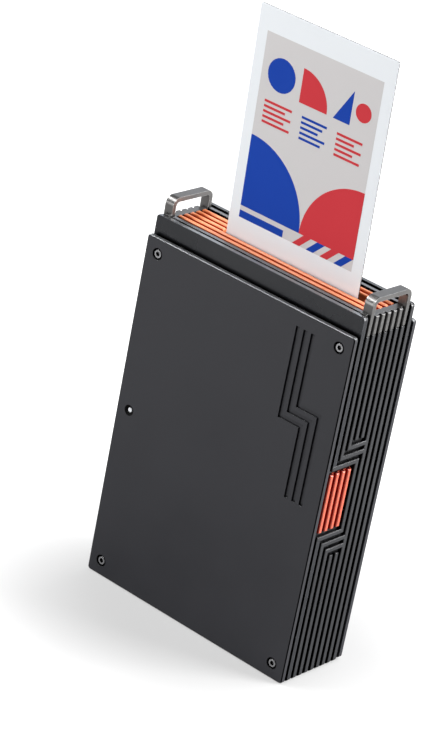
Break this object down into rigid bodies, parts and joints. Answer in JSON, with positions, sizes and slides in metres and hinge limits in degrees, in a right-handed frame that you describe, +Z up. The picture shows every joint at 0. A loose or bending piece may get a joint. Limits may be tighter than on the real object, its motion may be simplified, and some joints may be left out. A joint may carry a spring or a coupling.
{
  "type": "compact photo printer",
  "caption": "Slim upright photo printer with ribbed sides, a strap loop at each top corner, a hinged film door at the rear and a print standing in its top slot.",
  "frame": {"origin": "on the ground under the middle of the body's width and depth", "axes": "+Z up, front plate faces -Y, film door faces +Y, +X is the button side"},
  "size_m": [0.0856, 0.0304, 0.2035],
  "materials": {
    "charcoal_shell": "fine matte grain",
    "charcoal_plate": "matte powder coat",
    "gunmetal": "satin metallic",
    "orange_deck": "satin",
    "coral_button": "satin",
    "steel": "brushed",
    "black_plastic": "matte",
    "lamp_white": "clear light pipe",
    "black_rubber": "soft matte",
    "brass": "machined",
    "lens_glass": "clear",
    "print_paper": "satin",
    "board_green": "solder mask",
    "flex_amber": "smooth",
    "battery_wrap": "foil"
  },
  "bodies": {
    "case": {"front_shell": "charcoal_shell", "mid_frame": "charcoal_shell", "rear_shell": "charcoal_shell", "deck_tray": "charcoal_shell", "front_plate": "charcoal_plate", "left_loop": "gunmetal", "right_loop": "gunmetal", "top_deck": "orange_deck", "plate_screws": "steel", "rear_screws": "steel", "hinge_pins": "steel", "pack_spring": "steel", "roller_frame": "steel", "chassis": "steel", "pick_spring": "steel", "pinch_springs": "steel", "motor": "steel", "usb_socket": "steel", "lamp_ring": "black_plastic", "tact_switch": "black_plastic", "film_pack": "black_plastic", "exposure_head": "black_plastic", "board_chips": "black_plastic", "lamp_lens": "lamp_white", "light_seal": "black_rubber", "motor_leads": "black_rubber", "shaft_bushes": "brass", "exposure_lens": "lens_glass", "film_stack": "print_paper", "main_board": "board_green", "head_flex": "flex_amber", "battery": "battery_wrap"},
    "door": {"film_door": "charcoal_shell", "pressure_springs": "steel"},
    "latch": {"door_latch": "gunmetal"},
    "button": {"power_button": "coral_button"},
    "print": {"print_card": "print_paper"},
    "drive": {"drive_shaft": "steel", "drive_roller": "black_rubber", "roller_gear": "brass"},
    "pinch": {"pinch_shaft": "steel", "pinch_roller": "steel"},
    "idler": {"idler_gear": "brass"},
    "pinion": {"motor_pinion": "brass"},
    "claw": {"film_pick": "steel"}
  },
  "joints": [
    {"name": "film_door_hinge", "type": "hinge", "parent": "case", "child": "door", "pos_m": [-0.0414, 0.01385, 0.06], "axis": [0, 0, 1], "range_deg": [0, 110]},
    {"name": "latch_slide", "type": "slide", "parent": "door", "child": "latch", "axis": [0, 0, 1], "range_m": [0, 0.003]},
    {"name": "power_button_press", "type": "slide", "parent": "case", "child": "button", "axis": [-1, 0, 0], "range_m": [0, 0.0008], "stiffness_N_per_m": 600, "springref_m": -0.0005},
    {"name": "print_slide", "type": "slide", "parent": "case", "child": "print", "axis": [0, -0.0567, 0.9984], "range_m": [0, 0.012]},
    {"name": "drive_roller_spin", "type": "hinge", "parent": "case", "child": "drive", "pos_m": [0, -0.0035, 0.113], "axis": [1, 0, 0], "continuous": true},
    {"name": "pinch_roller_spin", "type": "hinge", "parent": "case", "child": "pinch", "pos_m": [0, 0.0022, 0.113], "axis": [1, 0, 0], "continuous": true},
    {"name": "idler_gear_spin", "type": "hinge", "parent": "case", "child": "idler", "pos_m": [-0.03, -0.0035, 0.104], "axis": [1, 0, 0], "continuous": true},
    {"name": "motor_pinion_spin", "type": "hinge", "parent": "case", "child": "pinion", "pos_m": [-0.03, -0.00656, 0.09716], "axis": [1, 0, 0], "continuous": true},
    {"name": "film_claw_slide", "type": "slide", "parent": "case", "child": "claw", "axis": [0, 0, 1], "range_m": [0, 0.005], "stiffness_N_per_m": 60, "springref_m": -0.002}
  ],
  "couplings": [
    {"joint": "pinch_roller_spin", "follows": "drive_roller_spin", "ratio": -1},
    {"joint": "idler_gear_spin", "follows": "drive_roller_spin", "ratio": -0.8},
    {"joint": "motor_pinion_spin", "follows": "drive_roller_spin", "ratio": 1.6}
  ]
}
